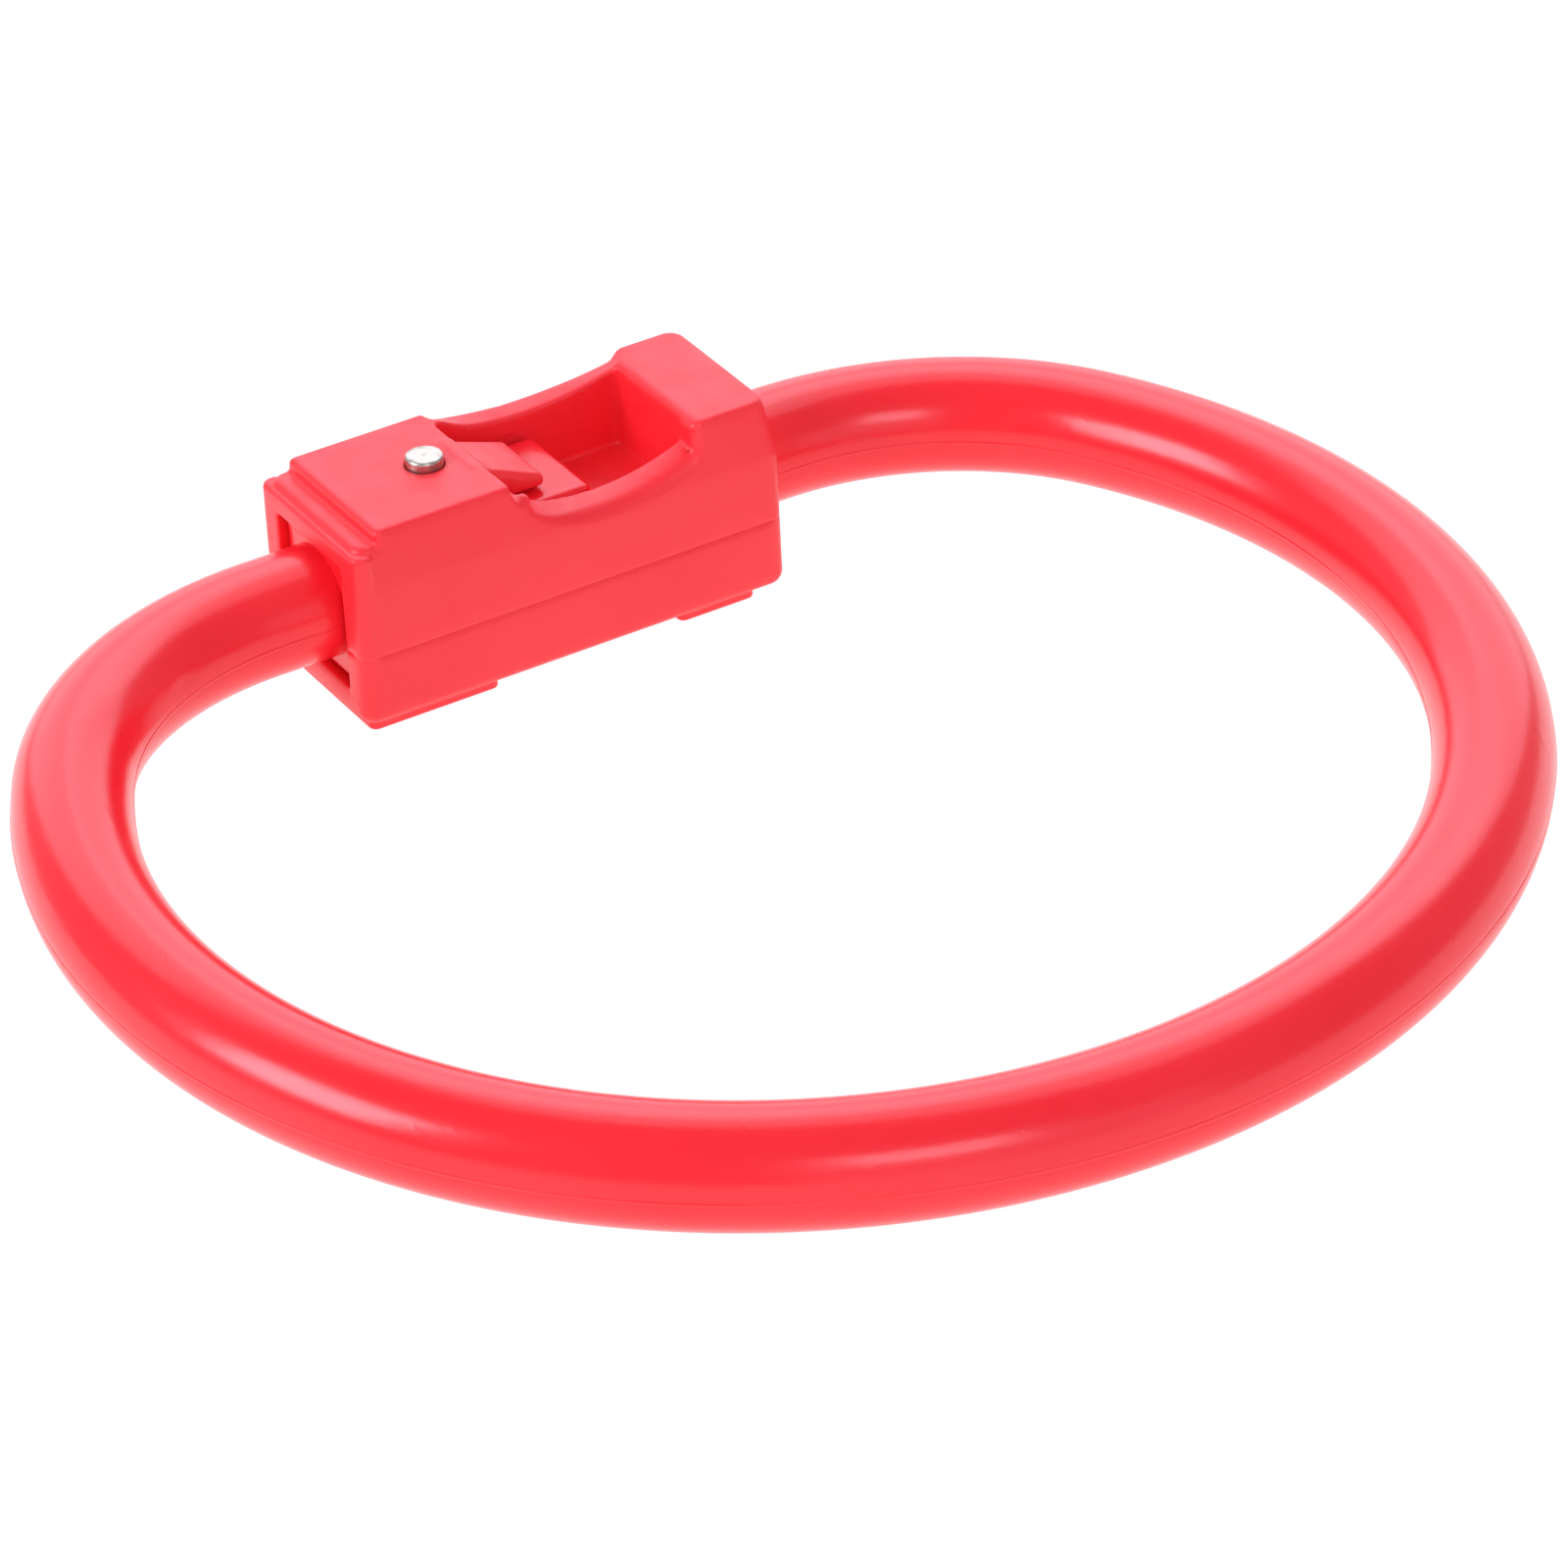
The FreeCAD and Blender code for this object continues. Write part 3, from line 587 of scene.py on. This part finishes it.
def floor_material():
    """A pale matt sweep. Much of its light is its own, so it stays even, like a lit product table."""
    material, tree, shader, where = new_material("pale_floor")
    grain = noise(tree, where, scale=900.0, detail=3.0)
    tree.links.new(map_range(tree, grain, (0.3, 0.7), (0.7, 0.8)), shader.inputs["Roughness"])
    shader.inputs["Base Color"].default_value = (0.22, 0.22, 0.22, 1.0)
    shader.inputs["Emission Color"].default_value = (1.0, 1.0, 1.0, 1.0)
    shader.inputs["Emission Strength"].default_value = 0.95
    return material


# --- Stage, light and camera.

CAMERA_AZIMUTH, CAMERA_ELEVATION = math.radians(-30), math.radians(32.64)
CAMERA_ROLL = math.radians(-2.85)
CAMERA_DISTANCE = 10.86 * RING_RADIUS * MM
CAMERA_TARGET = Vector((-0.0391, -0.0698, 0.0)) * RING_RADIUS * MM
CAMERA_LENS = 178.0


def direction(azimuth, elevation):
    level = math.cos(elevation)
    return Vector((math.sin(azimuth) * level, -math.cos(azimuth) * level, math.sin(elevation)))


def make_camera():
    """A long lens above the sleeve's left end, turned a little about its own axis."""
    back = direction(CAMERA_AZIMUTH, CAMERA_ELEVATION)
    right = Vector((0.0, 0.0, 1.0)).cross(back).normalized()
    over = back.cross(right)
    turned_right = right * math.cos(CAMERA_ROLL) + over * math.sin(CAMERA_ROLL)
    turned_over = over * math.cos(CAMERA_ROLL) - right * math.sin(CAMERA_ROLL)
    lens = bpy.data.cameras.new("camera")
    lens.lens = CAMERA_LENS
    lens.sensor_width = 36.0
    lens.clip_start, lens.clip_end = 0.01, 10.0
    camera = add_object("camera", lens)
    axes = Matrix((turned_right, turned_over, back)).transposed().to_4x4()
    camera.matrix_world = Matrix.Translation(CAMERA_TARGET + back * CAMERA_DISTANCE) @ axes
    bpy.context.scene.camera = camera


def make_floor():
    """A wide flat floor just below the plane that the feet and the bar rest on."""
    size, gap = 4.0, 0.02
    corners = [(-size, -size, 0.0), (size, -size, 0.0), (size, size, 0.0), (-size, size, 0.0)]
    mesh = bpy.data.meshes.new("floor")
    mesh.from_pydata(corners, [], [(0, 1, 2, 3)])
    floor = add_object("floor", mesh)
    floor.location = (0.0, FOOT_EDGE[0] * MM, (FOOT_EDGE[1] - gap) * MM)
    floor.rotation_euler = (-REST_TILT, 0.0, 0.0)
    mesh.materials.append(floor_material())


# Softboxes: azimuth and elevation from the object in degrees; distance, width and height in metres;
# radiance. The tint leans a little towards magenta.
SOFTBOXES = [
    ("back_box", 136.0, 56.0, 1.4, 1.10, 1.10, 1.3),
    ("back_wide", 151.0, 30.0, 1.4, 2.25, 1.45, 1.3),
    ("left_box", -103.0, 28.0, 1.4, 0.72, 0.60, 8.0),
    ("front_box", -12.0, 34.0, 1.4, 0.52, 0.40, 4.3),
    ("front_fill", -2.0, 16.0, 1.5, 1.60, 0.80, 0.5),
]
SOFTBOX_TINT = (1.0, 0.95, 1.08)
WORLD_COLOUR, WORLD_STRENGTH = (1.0, 0.97, 1.05, 1.0), 0.45


def make_lights():
    """The softboxes, each facing the object, and an even light from the world."""
    for name, azimuth, elevation, distance, width, height, radiance in SOFTBOXES:
        lamp = bpy.data.lights.new(name, "AREA")
        lamp.shape = "RECTANGLE"
        lamp.size, lamp.size_y = width, height
        lamp.color = SOFTBOX_TINT
        lamp.energy = radiance * math.pi * width * height
        softbox = add_object(name, lamp)
        towards = direction(math.radians(azimuth), math.radians(elevation))
        softbox.location = towards * distance
        softbox.rotation_mode = "QUATERNION"
        softbox.rotation_quaternion = towards.to_track_quat("Z", "Y")
    world = bpy.data.worlds.new("studio")
    bpy.context.scene.world = world
    world.use_nodes = True
    background = world.node_tree.nodes["Background"]
    background.inputs["Color"].default_value = WORLD_COLOUR
    background.inputs["Strength"].default_value = WORLD_STRENGTH


# --- The object.


def finish_piece(piece, body, material, node):
    """Gives a piece its material, and lets it ride on a body in place of a CAD node."""
    piece.data.materials.append(material)
    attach(piece, body)
    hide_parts(node)


make_camera()
make_floor()
make_lights()
bpy.context.scene.view_settings.view_transform = "Standard"

ring_red = plastic("ring_red", (0.88, 0.011, 0.022), (0.93, 0.02, 0.032), (0.21, 0.26), 0.00002, 0.00003)
sleeve_red = plastic("sleeve_red", (0.9, 0.02, 0.032), (0.95, 0.032, 0.045), (0.36, 0.5), 0.00005, 0.00002)
pin_steel = steel("pin_steel", (0.56, 0.54, 0.47), (0.26, 0.44), 0.00002, 0.66)
spring_steel = steel("spring_steel", (0.5, 0.5, 0.52), (0.2, 0.3), 0.00001, 0.9)

upper_box = (LEFT, -HALF_WIDTH, SEAM), (RIGHT, HALF_WIDTH, TOP)
lower_box = (LEFT, -HALF_WIDTH, FOOT_BOTTOM), (RIGHT, HALF_WIDTH, SEAM + LIP_HEIGHT)
tang_box = (TANG_LEFT, -TANG_HALF_WIDTH, -TANG_HALF_HEIGHT), (NOSE_RIGHT, TANG_HALF_WIDTH, TANG_HALF_HEIGHT)
upper = mesh_from_field("sleeve_upper", upper_shell, *upper_box)
lower = mesh_from_field("sleeve_lower", lower_shell, *lower_box)
ring_tang = mesh_from_field("ring_tang", tang, *tang_box)
finish_piece(make_bar(), "ring", ring_red, "ring_body")
finish_piece(ring_tang, "ring", ring_red, "ring_body")
finish_piece(upper, "sleeve", sleeve_red, "sleeve_upper_shell")
finish_piece(lower, "sleeve", sleeve_red, "sleeve_lower_shell")
finish_piece(make_pin(), "sleeve", pin_steel, "guide_pin")

# The spring rides on the sleeve and gets a mesh of its own.
spring = make_spring()
finish_piece(spring, "sleeve", spring_steel, "return_spring")
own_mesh(spring)
